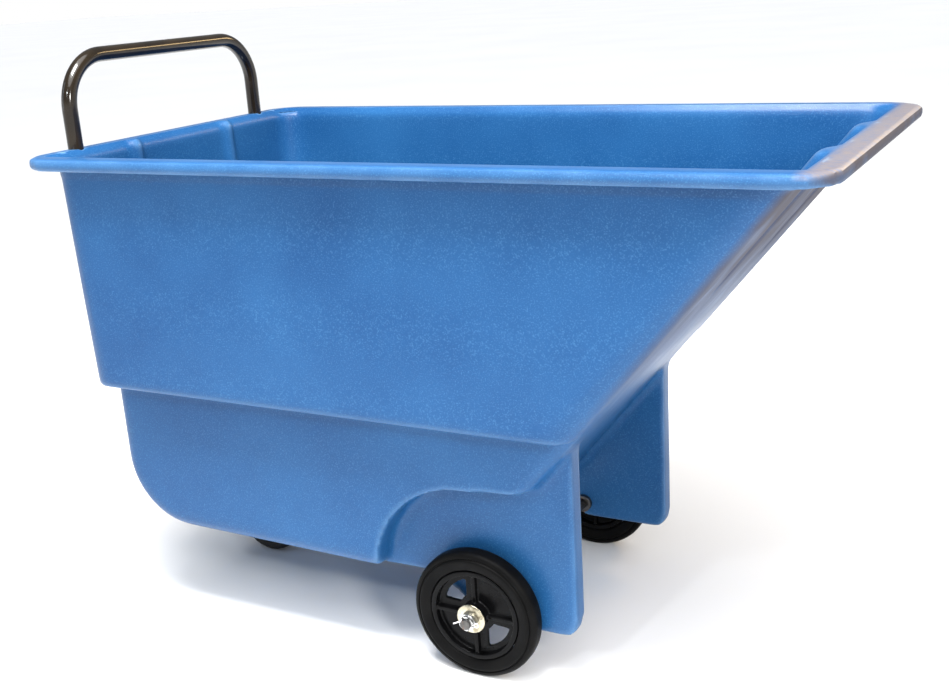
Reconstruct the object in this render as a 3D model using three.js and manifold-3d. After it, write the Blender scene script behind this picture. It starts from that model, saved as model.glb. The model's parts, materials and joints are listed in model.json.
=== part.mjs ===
// A moulded polyethylene tilt cart: a deep tub with a pouring lip, two fixed wheels on one
// through axle, a swivel caster at the back and a bent tube handle.
//
// Millimetres, +Z up, +X towards the pouring lip. The origin is on the ground, straight under
// the main axle, half way between the two big wheels.

import * as THREE from 'three';
import { mergeVertices } from 'three/addons/utils/BufferGeometryUtils.js';
import Module from 'manifold-3d';

const wasm = await Module();
wasm.setup();

// ---------------------------------------------------------------- driving dimensions

const FIT = 0.3;                 // gap between pieces that touch

// big wheels and their axle
const WHEEL_RADIUS = 101.6;
const WHEEL_WIDTH = 33;
const WHEEL_OUTER_FACE = 252;    // from the centre plane to the outer face of a tyre
const AXLE_RADIUS = 7.9;
const BORE_CLEARANCE = 0.25;     // on the radius, so that faceted shafts turn freely

// tub shell
const WALL = 6;
const RIM_TOP = 783;
const RIM_REAR = -694;
const RIM_FRONT = 524;
const RIM_HALF_WIDTH = 345;
const RIM_CORNER = 60;
const RIM_LIP = 20;              // height of the turned-down lip
const LIP_WALL = 5;
const LEDGE_Z = 412;             // underside of the step between upper and lower tub
const UPPER_TOP = { rear: -660, half: 311 };
const UPPER_FOOT = { rear: -653, half: 305 };
const UPPER_CORNER = { rear: 46, front: 30 };
const LOWER = { rear: -645, half: 260, floorRear: 158, floorFront: 149, heel: 115, toe: 45,
  edge: 26 };
const SLOPE = { x: 104, z: 315, rise: 1.217 };   // a point of the front slope and its gradient

// legs that carry the axle, below the tub
const LEG = { outer: 213, inner: 180, front: 150, rear: -178, foot: 73, footRear: 5, shelf: 139,
  shelfEnd: -78 };
const ARCH = { radius: 157, z: 148, rise: 0.075 };

// stiffening ribs of the rear wall and of the front slope
const RIB_Y = 118;
const REAR_RIB = { half: 14, height: 8, low: LEDGE_Z + 30, top: RIM_TOP - 10 };
const SLOPE_RIB = { half: 32, height: 12, low: 600, top: RIM_TOP - 6 };

// handle
const TUBE_RADIUS = 12.7;
const TUBE_BORE = 10.7;
const HANDLE = { x: -674.5, half: 230, top: 922, foot: 575, bend: 80, boltZ: [660, 605] };

// M8 bolts, their clearance holes and nuts
const BOLT_RADIUS = 3.9;
const BOLT_HOLE = 4.4;
const NUT_BORE = 4.2;
const HANDLE_BOLT = { head: 9, headHeight: 4.5, length: 46, flats: 13, nutHeight: 6.5 };
const CASTER_BOLT = { flats: 12.7, headHeight: 5, length: 36, nutHeight: 6.5 };

// slotted axle nut and the split pin through it
const CASTLE_NUT = { flats: 24, hexHeight: 10, crown: 11.4, height: 15, slot: 4 };
const SPLIT_PIN = { hole: 1.9, wire: 1.4, from: -13.5, to: 14, eye: 3.2, eyeWire: 1.3, eyeX: -16.2,
  tail: 9, tailWire: 1.1, tailX: 12.6 };

// caster
const CASTER = { x: -520, trail: 38, radius: 63.5, width: 32, height: 155.6 };
const CASTER_HOLES = { x: 35.7, y: 22.2 };
const CASTER_PLATE = { half: [46, 32], backing: 3 };
const BOSS = { half: [54, 38], floor: 174 };
const CASTER_AXLE = { bolt: 5, bore: 5.3, flats: 15, headHeight: 6, nutHeight: 8, spare: 12 };
const KINGPIN = { radius: 6, bore: 6.3, low: 127, head: 10, headLow: 129 };
const FORK = { cheek: 3, gap: 3, rear: -30, front: 28, cheekFront: 26, waist: 20, drop: 22, eye: 14,
  rearCorner: 10, frontCorner: 22, waistCorner: 20, eyeCorner: 12 };

// ---------------------------------------------------------------- materials

function finish(color, roughness, metalness = 0) {
  return () => new THREE.MeshStandardMaterial({ color, roughness, metalness });
}

const bluePlastic = finish(0x2f66b8, 0.5);
const blackPaint = finish(0x111111, 0.25);
const blackPlastic = finish(0x141416, 0.4);
const blackRubber = finish(0x1c1c1e, 0.75);
const zinc = finish(0xb9b4a4, 0.35, 0.9);
const steel = finish(0x9a9da0, 0.35, 0.9);
const nylon = finish(0xd8d4c6, 0.5);
const greyRubber = finish(0x2a2b2d, 0.7);

// ---------------------------------------------------------------- solids from geometry

function solidOf(geometry) {
  const plain = geometry.clone();
  plain.deleteAttribute('normal');
  plain.deleteAttribute('uv');
  const merged = mergeVertices(plain, 1e-3);
  const index = merged.index.array;
  const triangles = [];
  for (let i = 0; i < index.length; i += 3) {
    const [a, b, c] = [index[i], index[i + 1], index[i + 2]];
    if (a !== b && b !== c && c !== a) triangles.push(a, b, c);
  }
  return new wasm.Manifold(new wasm.Mesh({
    numProp: 3,
    vertProperties: new Float32Array(merged.attributes.position.array),
    triVerts: new Uint32Array(triangles),
  }));
}

function geometryOf(solid) {
  const mesh = solid.getMesh();
  const geometry = new THREE.BufferGeometry();
  geometry.setAttribute('position', new THREE.BufferAttribute(mesh.vertProperties, 3));
  geometry.setIndex(new THREE.BufferAttribute(mesh.triVerts, 1));
  return geometry;
}

const join = (...parts) => parts.reduce((sum, part) => sum.add(part));
const cut = (body, ...tools) => tools.reduce((rest, tool) => rest.subtract(tool), body);

// A closed solid through rings of points, each ring with the same number of points.
function loft(rings, capOf = capTriangles) {
  const count = rings[0].length;
  const positions = rings.flat().flatMap((p) => [p.x, p.y, p.z]);
  const triangles = [];
  for (let r = 0; r + 1 < rings.length; r += 1) {
    for (let i = 0; i < count; i += 1) {
      const a = r * count + i;
      const b = r * count + (i + 1) % count;
      triangles.push(a, b, b + count, a, b + count, a + count);
    }
  }
  const last = (rings.length - 1) * count;
  for (const [a, b, c] of capOf(rings[0])) {
    triangles.push(c, b, a, last + a, last + b, last + c);
  }
  const geometry = new THREE.BufferGeometry();
  geometry.setAttribute('position', new THREE.Float32BufferAttribute(positions, 3));
  geometry.setIndex(triangles);
  return facingOut(geometry);
}

// A fan of triangles from the first point, for a convex ring in a slanted plane.
const fanTriangles = (ring) => ring.slice(2).map((_, i) => [0, i + 1, i + 2]);

// Triangles that fill a flat ring and run round it the same way as its points do.
function capTriangles(ring) {
  const axes = capAxes(ring);
  const flat = ring.map((p) => new THREE.Vector2(p[axes[0]], p[axes[1]]));
  const faces = THREE.ShapeUtils.triangulateShape(flat, []);
  const turn = Math.sign(THREE.ShapeUtils.area(flat));
  return faces.map(([a, b, c]) => {
    const way = flat[b].clone().sub(flat[a]).cross(flat[c].clone().sub(flat[a]));
    return Math.sign(way) === turn ? [a, b, c] : [a, c, b];
  });
}

// The two axes that a flat ring spans.
function capAxes(ring) {
  const box = new THREE.Box3().setFromPoints(ring);
  const size = box.getSize(new THREE.Vector3());
  if (size.z <= Math.min(size.x, size.y)) return ['x', 'y'];
  return size.y <= size.x ? ['x', 'z'] : ['y', 'z'];
}

function facingOut(geometry) {
  const p = geometry.attributes.position;
  const index = geometry.index.array;
  const [a, b, c] = [new THREE.Vector3(), new THREE.Vector3(), new THREE.Vector3()];
  let volume = 0;
  for (let i = 0; i < index.length; i += 3) {
    a.fromBufferAttribute(p, index[i]);
    b.fromBufferAttribute(p, index[i + 1]);
    c.fromBufferAttribute(p, index[i + 2]);
    volume += a.dot(b.cross(c));
  }
  if (volume < 0) index.reverse();
  return solidOf(geometry);
}

// A closed outline with rounded corners. Each corner is [x, y, radius]; inset moves every side
// inwards, or only the sides whose keep flag is not set (side i runs from corner i to i + 1).
function roundedOutline(corners, inset = 0, steps = 4, keep = []) {
  const count = corners.length;
  let area = 0;
  for (let i = 0; i < count; i += 1) {
    const [ax, ay] = corners[i];
    const [bx, by] = corners[(i + 1) % count];
    area += ax * by - bx * ay;
  }
  const sides = corners.map(([ax, ay], i) => {
    const [bx, by] = corners[(i + 1) % count];
    const dir = new THREE.Vector2(bx - ax, by - ay).normalize();
    const inward = new THREE.Vector2(-dir.y, dir.x).multiplyScalar(Math.sign(area));
    const start = new THREE.Vector2(ax, ay).addScaledVector(inward, keep[i] ? 0 : inset);
    return { dir, start };
  });
  const points = [];
  for (let i = 0; i < count; i += 1) {
    const before = sides[(i + count - 1) % count];
    const after = sides[i];
    const across = after.start.clone().sub(before.start);
    const t = across.cross(after.dir) / before.dir.cross(after.dir);
    const corner = before.start.clone().addScaledVector(before.dir, t);
    const shrink = Math.sign(area) === Math.sign(before.dir.cross(after.dir)) ? inset : -inset;
    const radius = corners[i][2] > 0 ? Math.max(corners[i][2] - shrink, 0.5) : 0;
    points.push(...cornerArc(corner, before.dir, after.dir, radius, steps));
  }
  return points;
}

function cornerArc(corner, dirIn, dirOut, radius, steps) {
  if (radius === 0) return [corner];
  const turn = Math.atan2(dirIn.cross(dirOut), dirIn.dot(dirOut));
  const reach = radius * Math.abs(Math.tan(turn / 2));
  const side = Math.sign(turn);
  const centre = corner.clone().addScaledVector(dirIn, -reach)
    .add(new THREE.Vector2(-dirIn.y, dirIn.x).multiplyScalar(side * radius));
  const first = new THREE.Vector2(dirIn.y, -dirIn.x).multiplyScalar(side * radius);
  return Array.from({ length: steps + 1 }, (_, k) =>
    first.clone().rotateAround(new THREE.Vector2(), (turn * k) / steps).add(centre));
}

const inPlan = (points, z) => points.map((p) => new THREE.Vector3(p.x, p.y, z));
const inSide = (points, y) => points.map((p) => new THREE.Vector3(p.x, y, p.y));

function boxSolid(low, high) {
  const size = new THREE.Vector3().subVectors(high, low);
  const box = new THREE.BoxGeometry(size.x, size.y, size.z);
  const middle = new THREE.Vector3().addVectors(low, high).multiplyScalar(0.5);
  return solidOf(box.translate(middle.x, middle.y, middle.z));
}

const at = (x, y, z) => new THREE.Vector3(x, y, z);

// A round solid about an axis through centre, from one end to the other along that axis.
function roundSolid(radius, from, to, centre, axis = 'y', sides = 24) {
  const rod = new THREE.CylinderGeometry(radius, radius, to - from, sides);
  rod.translate(0, (from + to) / 2, 0);
  if (axis === 'z') rod.rotateX(Math.PI / 2);
  if (axis === 'x') rod.rotateZ(-Math.PI / 2);
  return solidOf(rod.translate(centre.x, centre.y, centre.z));
}

// A ring or stepped ring turned about the Y axis, from a closed outline of [radius, y] points.
function turned(outline, sides = 24) {
  const points = outline.map(([r, y]) => new THREE.Vector2(r, y));
  points.push(points[0].clone());
  return facingOut(indexed(new THREE.LatheGeometry(points, sides)));
}

function indexed(geometry) {
  const plain = geometry.clone();
  plain.deleteAttribute('normal');
  plain.deleteAttribute('uv');
  return mergeVertices(plain, 1e-3);
}

const washer = (inner, outer, from, to, sides = 20) =>
  turned([[inner, from], [outer, from], [outer, to], [inner, to]], sides);

function hexagon(acrossFlats, from, to) {
  return roundSolid(acrossFlats / Math.sqrt(3), from, to, at(0, 0, 0), 'y', 6);
}

// ---------------------------------------------------------------- tub

const slopeX = (z) => SLOPE.x + (z - SLOPE.z) / SLOPE.rise;
const slopeShift = (offset) => offset * Math.hypot(1, 1 / SLOPE.rise);

// Plan outline of the upper tub at height z, moved inwards by inset.
function upperOutline(z, inset) {
  const share = (z - LEDGE_Z) / (RIM_TOP - LEDGE_Z);
  const rear = THREE.MathUtils.lerp(UPPER_FOOT.rear, UPPER_TOP.rear, share) + inset;
  const half = THREE.MathUtils.lerp(UPPER_FOOT.half, UPPER_TOP.half, share) - inset;
  const front = slopeX(z) - slopeShift(inset);
  const rearRadius = UPPER_CORNER.rear - inset;
  const frontRadius = UPPER_CORNER.front - inset;
  return inPlan(roundedOutline([
    [rear, -half, rearRadius],
    [front, -half, frontRadius],
    [front, half, frontRadius],
    [rear, half, rearRadius],
  ]), z);
}

// Side profile of the lower tub: rear wall, heel, floor and front slope. The top side stays put.
function lowerProfile(topZ, inset) {
  return roundedOutline([
    [LOWER.rear, topZ, 0],
    [slopeX(topZ), topZ, 0],
    [slopeX(LOWER.floorFront), LOWER.floorFront, LOWER.toe],
    [LOWER.rear, LOWER.floorRear + 2, LOWER.heel],
  ], inset, 6, [true, false, false, false]);
}

// The lower tub as slices from side to side, with its long edges rounded.
function lowerSolid(topZ, inset) {
  const half = LOWER.half - inset;
  const edge = LOWER.edge - inset;
  const angles = [0, 30, 60, 90].map(THREE.MathUtils.degToRad);
  const slices = angles.map((angle) => ({
    y: half - edge + edge * Math.sin(angle),
    inset: inset + edge * (1 - Math.cos(angle)),
  }));
  const near = slices.map((s) => ({ y: -s.y, inset: s.inset })).reverse();
  return loft([...near, ...slices].map((s) => inSide(lowerProfile(topZ, s.inset), s.y)));
}

// The space that the wheel turns in, on one side of the tub (side is -1 or 1).
function archSolid(side, grow) {
  const radius = ARCH.radius + grow;
  const steps = 10;
  const outline = [new THREE.Vector2(-radius, -60)];
  for (let k = 0; k <= steps; k += 1) {
    const angle = Math.PI - (k * Math.PI) / (2 * steps);
    outline.push(new THREE.Vector2(radius * Math.cos(angle), ARCH.z + radius * Math.sin(angle)));
  }
  const reach = 400;
  outline.push(new THREE.Vector2(reach, ARCH.z + radius + reach * ARCH.rise));
  outline.push(new THREE.Vector2(reach, -60));
  return loft([LEG.outer - grow, LOWER.half + 60].map((y) => inSide(outline, side * y)));
}

// One leg: a deep narrow box below the tub that the axle passes through.
function legSolid(side, inset) {
  const edge = inset > 0 ? 2 : 12;
  const corners = [
    [LEG.front, LEG.foot, 24],
    [LEG.front, LEDGE_Z - 36, 0],
    [LEG.rear, LEDGE_Z - 36, 0],
    [LEG.rear, LEG.shelf, 8],
    [LEG.shelfEnd, LEG.shelf, 30],
    [LEG.footRear, LEG.foot, 12],
  ];
  const middle = (LEG.outer + LEG.inner) / 2;
  const half = (LEG.outer - LEG.inner) / 2 - inset;
  const slices = [[-half, edge], [-half + edge * 0.3, edge * 0.3], [-half + edge, 0],
    [half - edge, 0], [half - edge * 0.3, edge * 0.3], [half, edge]];
  return loft(slices.map(([y, bevel]) => inSide(
    roundedOutline(corners, inset + bevel, 3, [false, true, true, false, false, false]),
    side * (middle + y))));
}

// A stiffening rib: a half-round bar lying on the rear wall or on the front slope.
function ribBar(y, from, to, { half, height }, lift) {
  const along = new THREE.Vector3().subVectors(to, from);
  const up = lift.clone().normalize();
  const steps = 8;
  const ring = (origin, scale) => Array.from({ length: steps + 1 }, (_, k) => {
    const angle = (Math.PI * k) / steps;
    return origin.clone()
      .add(new THREE.Vector3(0, y - half * Math.cos(angle), 0))
      .addScaledVector(up, height * scale * Math.sin(angle));
  }).concat([
    origin.clone().add(new THREE.Vector3(0, y + half, 0)).addScaledVector(up, -WALL),
    origin.clone().add(new THREE.Vector3(0, y - half, 0)).addScaledVector(up, -WALL),
  ]);
  const shares = [[0, 0.02], [0.06, 0.6], [0.15, 1], [0.6, 1], [1, 0.02]];
  const rings = shares.map(([share, scale]) =>
    ring(from.clone().addScaledVector(along, share), scale));
  return loft(rings, fanTriangles);
}

function rimOutline(inset) {
  return roundedOutline([
    [RIM_REAR, -RIM_HALF_WIDTH, RIM_CORNER],
    [RIM_FRONT, -RIM_HALF_WIDTH, RIM_CORNER],
    [RIM_FRONT, RIM_HALF_WIDTH, RIM_CORNER],
    [RIM_REAR, RIM_HALF_WIDTH, RIM_CORNER],
  ], inset, 6);
}

function rimSolid() {
  const outer = loft([[RIM_TOP - RIM_LIP, 0], [RIM_TOP - 3, 0], [RIM_TOP - 1, 1], [RIM_TOP, 3]]
    .map(([z, inset]) => inPlan(rimOutline(inset), z)));
  const under = loft([RIM_TOP - RIM_LIP - 10, RIM_TOP - WALL]
    .map((z) => inPlan(rimOutline(LIP_WALL), z)));
  return cut(outer, under);
}

function tubOutside() {
  const upper = loft([LEDGE_Z, RIM_TOP - 2].map((z) => upperOutline(z, 0)));
  const arches = [-1, 1].map((side) => archSolid(side, 0));
  const lower = cut(lowerSolid(LEDGE_Z, 0), ...arches);
  const legs = [-1, 1].map((side) => legSolid(side, 0));
  const boss = boxSolid(at(CASTER.x - BOSS.half[0], -BOSS.half[1], CASTER.height + FIT),
    at(CASTER.x + BOSS.half[0], BOSS.half[1], BOSS.floor));
  return join(upper, lower, rimSolid(), ...legs, boss);
}

function tubHollow() {
  const floor = LEDGE_Z + WALL;
  const mouth = RIM_TOP - 8;
  const upper = loft([
    upperOutline(floor, WALL),
    upperOutline(mouth, WALL),
    upperOutline(RIM_TOP - 2, WALL - 2),
    upperOutline(RIM_TOP + 5, WALL - 10),
  ]);
  const arches = [-1, 1].map((side) => archSolid(side, WALL));
  const lower = cut(lowerSolid(floor, WALL), ...arches);
  const legs = [-1, 1].map((side) => legSolid(side, WALL));
  const boss = boxSolid(at(CASTER.x - BOSS.half[0], -BOSS.half[1], CASTER.height),
    at(CASTER.x + BOSS.half[0], BOSS.half[1], BOSS.floor));
  const ribs = [-1, 1].flatMap((side) => [
    ribBar(side * RIB_Y, at(UPPER_TOP.rear + WALL, 0, REAR_RIB.top),
      at(UPPER_FOOT.rear + WALL, 0, REAR_RIB.low), REAR_RIB, at(1, 0, 0)),
    ribBar(side * RIB_Y, at(slopeX(SLOPE_RIB.top) - slopeShift(WALL), 0, SLOPE_RIB.top),
      at(slopeX(SLOPE_RIB.low) - slopeShift(WALL), 0, SLOPE_RIB.low), SLOPE_RIB,
      at(-SLOPE.rise, 0, 1)),
  ]);
  return cut(join(upper, lower, ...legs), boss, ...ribs);
}

function tub() {
  const holes = [];
  for (const side of [-1, 1]) {
    const y = side * HANDLE.half;
    holes.push(roundSolid(TUBE_RADIUS + 0.6, 700, RIM_TOP + 5, at(HANDLE.x, y, 0), 'z', 24));
    for (const z of HANDLE.boltZ) {
      holes.push(roundSolid(BOLT_HOLE, -670, -630, at(0, y, z), 'x', 12));
    }
    const ends = [side * 150, side * 240].sort((p, q) => p - q);
    holes.push(roundSolid(AXLE_RADIUS + 0.5, ...ends, at(0, 0, WHEEL_RADIUS), 'y', 24));
  }
  for (const [dx, dy] of casterHolePlaces()) {
    holes.push(roundSolid(BOLT_HOLE, 140, 190, at(CASTER.x + dx, dy, 0), 'z', 12));
  }
  return cut(tubOutside(), tubHollow(), ...holes);
}

// ---------------------------------------------------------------- handle

function handlePath() {
  const { half, top, foot, bend } = HANDLE;
  const path = new THREE.CurvePath();
  const corner = (y) => at(0, y, top);
  const low = (y) => at(0, y, foot);
  const side = (y) => at(0, y, top - bend);
  const over = (y) => at(0, y - Math.sign(y) * bend, top);
  const bendCurve = (from, to, y) => {
    const quarter = 0.5523;
    return new THREE.CubicBezierCurve3(from, from.clone().lerp(corner(y), quarter),
      to.clone().lerp(corner(y), quarter), to);
  };
  path.add(new THREE.LineCurve3(low(-half), side(-half)));
  path.add(bendCurve(side(-half), over(-half), -half));
  path.add(new THREE.LineCurve3(over(-half), over(half)));
  path.add(bendCurve(over(half), side(half), half));
  path.add(new THREE.LineCurve3(side(half), low(half)));
  return path;
}

function handleTube() {
  const section = new THREE.Shape().absarc(0, 0, TUBE_RADIUS, 0, Math.PI * 2, false);
  section.holes.push(new THREE.Path().absarc(0, 0, TUBE_BORE, 0, Math.PI * 2, true));
  const tube = new THREE.ExtrudeGeometry(section, {
    steps: 38, curveSegments: 5, bevelEnabled: false, extrudePath: handlePath(),
  });
  const solid = facingOut(indexed(tube)).translate([HANDLE.x, 0, 0]);
  const holes = [-1, 1].flatMap((side) => HANDLE.boltZ.map((z) =>
    roundSolid(BOLT_HOLE, -700, -650, at(0, side * HANDLE.half, z), 'x', 12)));
  return cut(solid, ...holes);
}

function tubePlug() {
  return join(roundSolid(TUBE_RADIUS, -4, -FIT, at(0, 0, 0), 'z', 24),
    roundSolid(TUBE_BORE - 1, -1, 14, at(0, 0, 0), 'z', 24));
}

// ---------------------------------------------------------------- fasteners

// A bolt along +Y with its head below y = 0.
function bolt(radius, acrossFlats, headHeight, length) {
  return join(hexagon(acrossFlats, -headHeight, 0),
    roundSolid(radius, -1, length, at(0, 0, 0), 'y', 12));
}

// A carriage bolt along +Y with its low domed head below y = 0.
function domeBolt(radius, headRadius, headHeight, length) {
  const dome = [[0, -headHeight], [headRadius * 0.5, -headHeight * 0.86],
    [headRadius * 0.85, -headHeight * 0.5], [headRadius, 0], [radius, 0], [radius, length],
    [0, length]];
  const points = dome.map(([r, y]) => new THREE.Vector2(r, y));
  return facingOut(indexed(new THREE.LatheGeometry(points, 16)));
}

function hexNut(boreRadius, acrossFlats, height) {
  return cut(hexagon(acrossFlats, 0, height),
    roundSolid(boreRadius, -1, height + 1, at(0, 0, 0), 'y', 16));
}

function castleNut() {
  const { flats, hexHeight, crown, height, slot } = CASTLE_NUT;
  const slots = [0, 60, 120].map((angle) => {
    const tool = new THREE.BoxGeometry(2 * flats, 2 * slot, slot).translate(0, height, 0);
    return solidOf(tool.rotateY(THREE.MathUtils.degToRad(angle)));
  });
  const blank = join(hexagon(flats, 0, hexHeight),
    roundSolid(crown, hexHeight - 1, height, at(0, 0, 0), 'y', 24));
  return cut(blank, roundSolid(AXLE_RADIUS + 0.2, -1, height + 1, at(0, 0, 0)), ...slots);
}

// A split pin along X: an eye at one end and one leg bent outwards at the other.
function cotterPin() {
  const { wire, from, to, eye, eyeWire, eyeX, tail, tailWire, tailX } = SPLIT_PIN;
  const ring = new THREE.TorusGeometry(eye, eyeWire, 6, 12).rotateX(Math.PI / 2)
    .translate(eyeX, 0, 0);
  const leg = roundSolid(wire, from, to, at(0, 0, 0), 'x', 12);
  const bent = new THREE.CylinderGeometry(tailWire, tailWire, tail, 10).translate(0, tail / 2, 0)
    .rotateZ(-Math.PI / 5).translate(tailX, 0, 0);
  return join(solidOf(ring), leg, solidOf(bent));
}

// ---------------------------------------------------------------- big wheels

// Parts of a wheel stand on the axle line, with +Y towards the outside of the cart.
const HUB = { inner: -17.6, outer: 18, rim: 72, recess: 64, boss: 20, bush: 11.5 };

function tyre() {
  const half = WHEEL_WIDTH / 2;
  const r = WHEEL_RADIUS;
  const seat = HUB.rim + FIT;
  return turned([[seat, -half + 3], [r - 16, -half], [r - 4, -half + 3], [r, -half + 11],
    [r, half - 11], [r - 4, half - 3], [r - 16, half], [seat, half - 3]], 36);
}

function hub() {
  const half = WHEEL_WIDTH / 2;
  const rim = turned([[HUB.recess, -half + 3], [HUB.rim, -half + 4], [HUB.rim, half - 4],
    [HUB.recess, half - 3]], 36);
  const web = washer(HUB.boss - 3, HUB.recess + 2, -3, 3, 36);
  const boss = roundSolid(HUB.boss, HUB.inner, HUB.outer, at(0, 0, 0));
  const spokes = [0, 90, 180, 270].map((angle) => {
    const length = HUB.recess - HUB.boss + 8;
    const spoke = new THREE.BoxGeometry(length, WHEEL_WIDTH - 12, 7)
      .translate(HUB.boss - 4 + length / 2, 0, 0);
    return solidOf(spoke.rotateY(THREE.MathUtils.degToRad(angle)));
  });
  const bore = roundSolid(AXLE_RADIUS + 1.5, -40, 40, at(0, 0, 0));
  const seats = [roundSolid(HUB.bush, HUB.outer - 14, HUB.outer + 1, at(0, 0, 0)),
    roundSolid(HUB.bush, HUB.inner - 1, HUB.inner + 14, at(0, 0, 0))];
  return cut(join(rim, web, boss, ...spokes), bore, ...seats, ...webWindows());
}

// Two opposite quarters of the web are open.
function webWindows() {
  return [1, 3].map((quarter) => {
    const gap = 0.24;
    const start = (quarter * Math.PI) / 2;
    const window = new THREE.Shape();
    window.absarc(0, 0, HUB.recess - 4, start + gap * 0.7, start + Math.PI / 2 - gap * 0.7, false);
    window.absarc(0, 0, HUB.boss + 6, start + Math.PI / 2 - gap * 1.6, start + gap * 1.6, true);
    const prism = new THREE.ExtrudeGeometry(window, {
      depth: 12, bevelEnabled: false, curveSegments: 8,
    });
    return solidOf(prism.translate(0, 0, -6).rotateX(Math.PI / 2));
  });
}

function hubBush() {
  const bore = AXLE_RADIUS + BORE_CLEARANCE;
  const barrel = HUB.bush - FIT;
  return turned([[bore, -13], [barrel, -13], [barrel, 0.3], [15, 0.3], [15, 2], [bore, 2]], 18);
}

// ---------------------------------------------------------------- caster

function casterHolePlaces() {
  const { x, y } = CASTER_HOLES;
  return [[-x, -y], [x, -y], [x, y], [-x, y]];
}

function platePiece(halfX, halfY, from, to, boreRadius) {
  const outline = roundedOutline([[-halfX, -halfY, 8], [halfX, -halfY, 8], [halfX, halfY, 8],
    [-halfX, halfY, 8]], 0, 3);
  const plate = loft([inPlan(outline, from), inPlan(outline, to)]);
  const holes = casterHolePlaces().map(([x, y]) =>
    roundSolid(BOLT_HOLE, from - 1, to + 1, at(x, y, 0), 'z', 12));
  const bore = boreRadius > 0
    ? [roundSolid(boreRadius, from - 1, to + 1, at(0, 0, 0), 'z', 24)] : [];
  return cut(plate, ...holes, ...bore);
}

const SWIVEL = { plateUnder: 152.4, race: [26, 8.5], raceUnder: 143, ballsUnder: 139.4,
  forkTop: 139, forkUnder: 135 };

function casterTopPlate() {
  const plate = platePiece(...CASTER_PLATE.half, SWIVEL.plateUnder, CASTER.height,
    KINGPIN.bore);
  const [outer, inner] = SWIVEL.race;
  const race = cut(roundSolid(outer, SWIVEL.raceUnder, SWIVEL.plateUnder + 0.5, at(0, 0, 0), 'z'),
    roundSolid(inner, 100, 200, at(0, 0, 0), 'z', 24));
  return join(plate, race);
}

function ballRing() {
  return cut(
    roundSolid(23, SWIVEL.ballsUnder, SWIVEL.raceUnder - FIT, at(0, 0, 0), 'z'),
    roundSolid(17, 100, 200, at(0, 0, 0), 'z'));
}

function kingpin() {
  return join(roundSolid(KINGPIN.radius, KINGPIN.low, CASTER.height - 0.4, at(0, 0, 0), 'z', 24),
    roundSolid(KINGPIN.head, KINGPIN.headLow, SWIVEL.forkUnder - FIT, at(0, 0, 0), 'z', 24));
}

function casterFork() {
  const { cheek, rear, front, cheekFront, waist, drop, eye } = FORK;
  const inside = CASTER.width / 2 + FORK.gap;
  const outside = inside + cheek;
  const topOutline = roundedOutline([[rear, -outside, FORK.rearCorner],
    [front, -outside, FORK.frontCorner], [front, outside, FORK.frontCorner],
    [rear, outside, FORK.rearCorner]], 0, 5);
  const top = loft([inPlan(topOutline, SWIVEL.forkUnder), inPlan(topOutline, SWIVEL.forkTop)]);
  const low = CASTER.radius - 12;
  const side = roundedOutline([[rear, SWIVEL.forkTop - 1, 2], [cheekFront, SWIVEL.forkTop - 1, 6],
    [waist, SWIVEL.forkTop - drop, FORK.waistCorner], [eye - CASTER.trail, low, FORK.eyeCorner],
    [-eye - CASTER.trail, low, FORK.eyeCorner]], 0, 5);
  const cheeks = [-1, 1].map((s) => loft([inside, outside].map((y) => inSide(side, s * y))));
  const pinHole = roundSolid(KINGPIN.bore, 100, 200, at(0, 0, 0), 'z', 24);
  const axleHole = roundSolid(CASTER_AXLE.bore, -60, 60, at(-CASTER.trail, 0, CASTER.radius), 'y', 24);
  return cut(join(top, ...cheeks), pinHole, axleHole);
}

function casterTread() {
  const r = CASTER.radius;
  const half = CASTER.width / 2;
  return turned([[r - 15, -half + 1], [r - 6, -half], [r - 2, -half + 3], [r, -half + 9],
    [r, half - 9], [r - 2, half - 3], [r - 6, half], [r - 15, half - 1]], 32);
}

function casterCore() {
  const seat = CASTER.radius - 15 - FIT;
  const half = CASTER.width / 2;
  return turned([[8.4, -half - 2], [15, -half - 2], [17, -5], [seat - 7, -5], [seat - 5, -half + 2],
    [seat, -half + 2], [seat, half - 2], [seat - 5, half - 2], [seat - 7, 5], [17, 5],
    [15, half + 2], [8.4, half + 2]]);
}

// ---------------------------------------------------------------- assembly

const cart = new THREE.Group();

// Adds one named mesh to the cart, or to a group of it.
function add(name, solid, material, place = at(0, 0, 0), parent = cart) {
  const mesh = new THREE.Mesh(geometryOf(solid), material());
  mesh.name = name;
  mesh.position.copy(place);
  parent.add(mesh);
  return mesh;
}

add('tub', tub(), bluePlastic);
add('handle_tube', handleTube(), blackPaint);

for (const [label, side] of [['near', -1], ['far', 1]]) {
  const y = side * HANDLE.half;
  add(`handle_plug_${label}`, tubePlug(), blackPlastic, at(HANDLE.x, y, HANDLE.foot));
  HANDLE.boltZ.forEach((z, i) => {
    const share = (z - LEDGE_Z) / (RIM_TOP - LEDGE_Z);
    const wallInside = THREE.MathUtils.lerp(UPPER_FOOT.rear, UPPER_TOP.rear, share) + WALL;
    const seat = wallInside + FIT + 0.3;
    const bolts = add(`handle_bolt_${label}_${i + 1}`, domeBolt(BOLT_RADIUS, HANDLE_BOLT.head,
      HANDLE_BOLT.headHeight, HANDLE_BOLT.length), zinc, at(seat + 2 + FIT, y, z));
    bolts.rotation.z = Math.PI / 2;
    const disc = add(`handle_washer_${label}_${i + 1}`, washer(4.3, 12, 0, 2, 16), zinc,
      at(seat + 2, y, z));
    disc.rotation.z = Math.PI / 2;
    const nut = add(`handle_nut_${label}_${i + 1}`, hexNut(NUT_BORE, HANDLE_BOLT.flats,
      HANDLE_BOLT.nutHeight), zinc, at(HANDLE.x - TUBE_RADIUS - FIT, y, z));
    nut.rotation.z = Math.PI / 2;
  });
}

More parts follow.
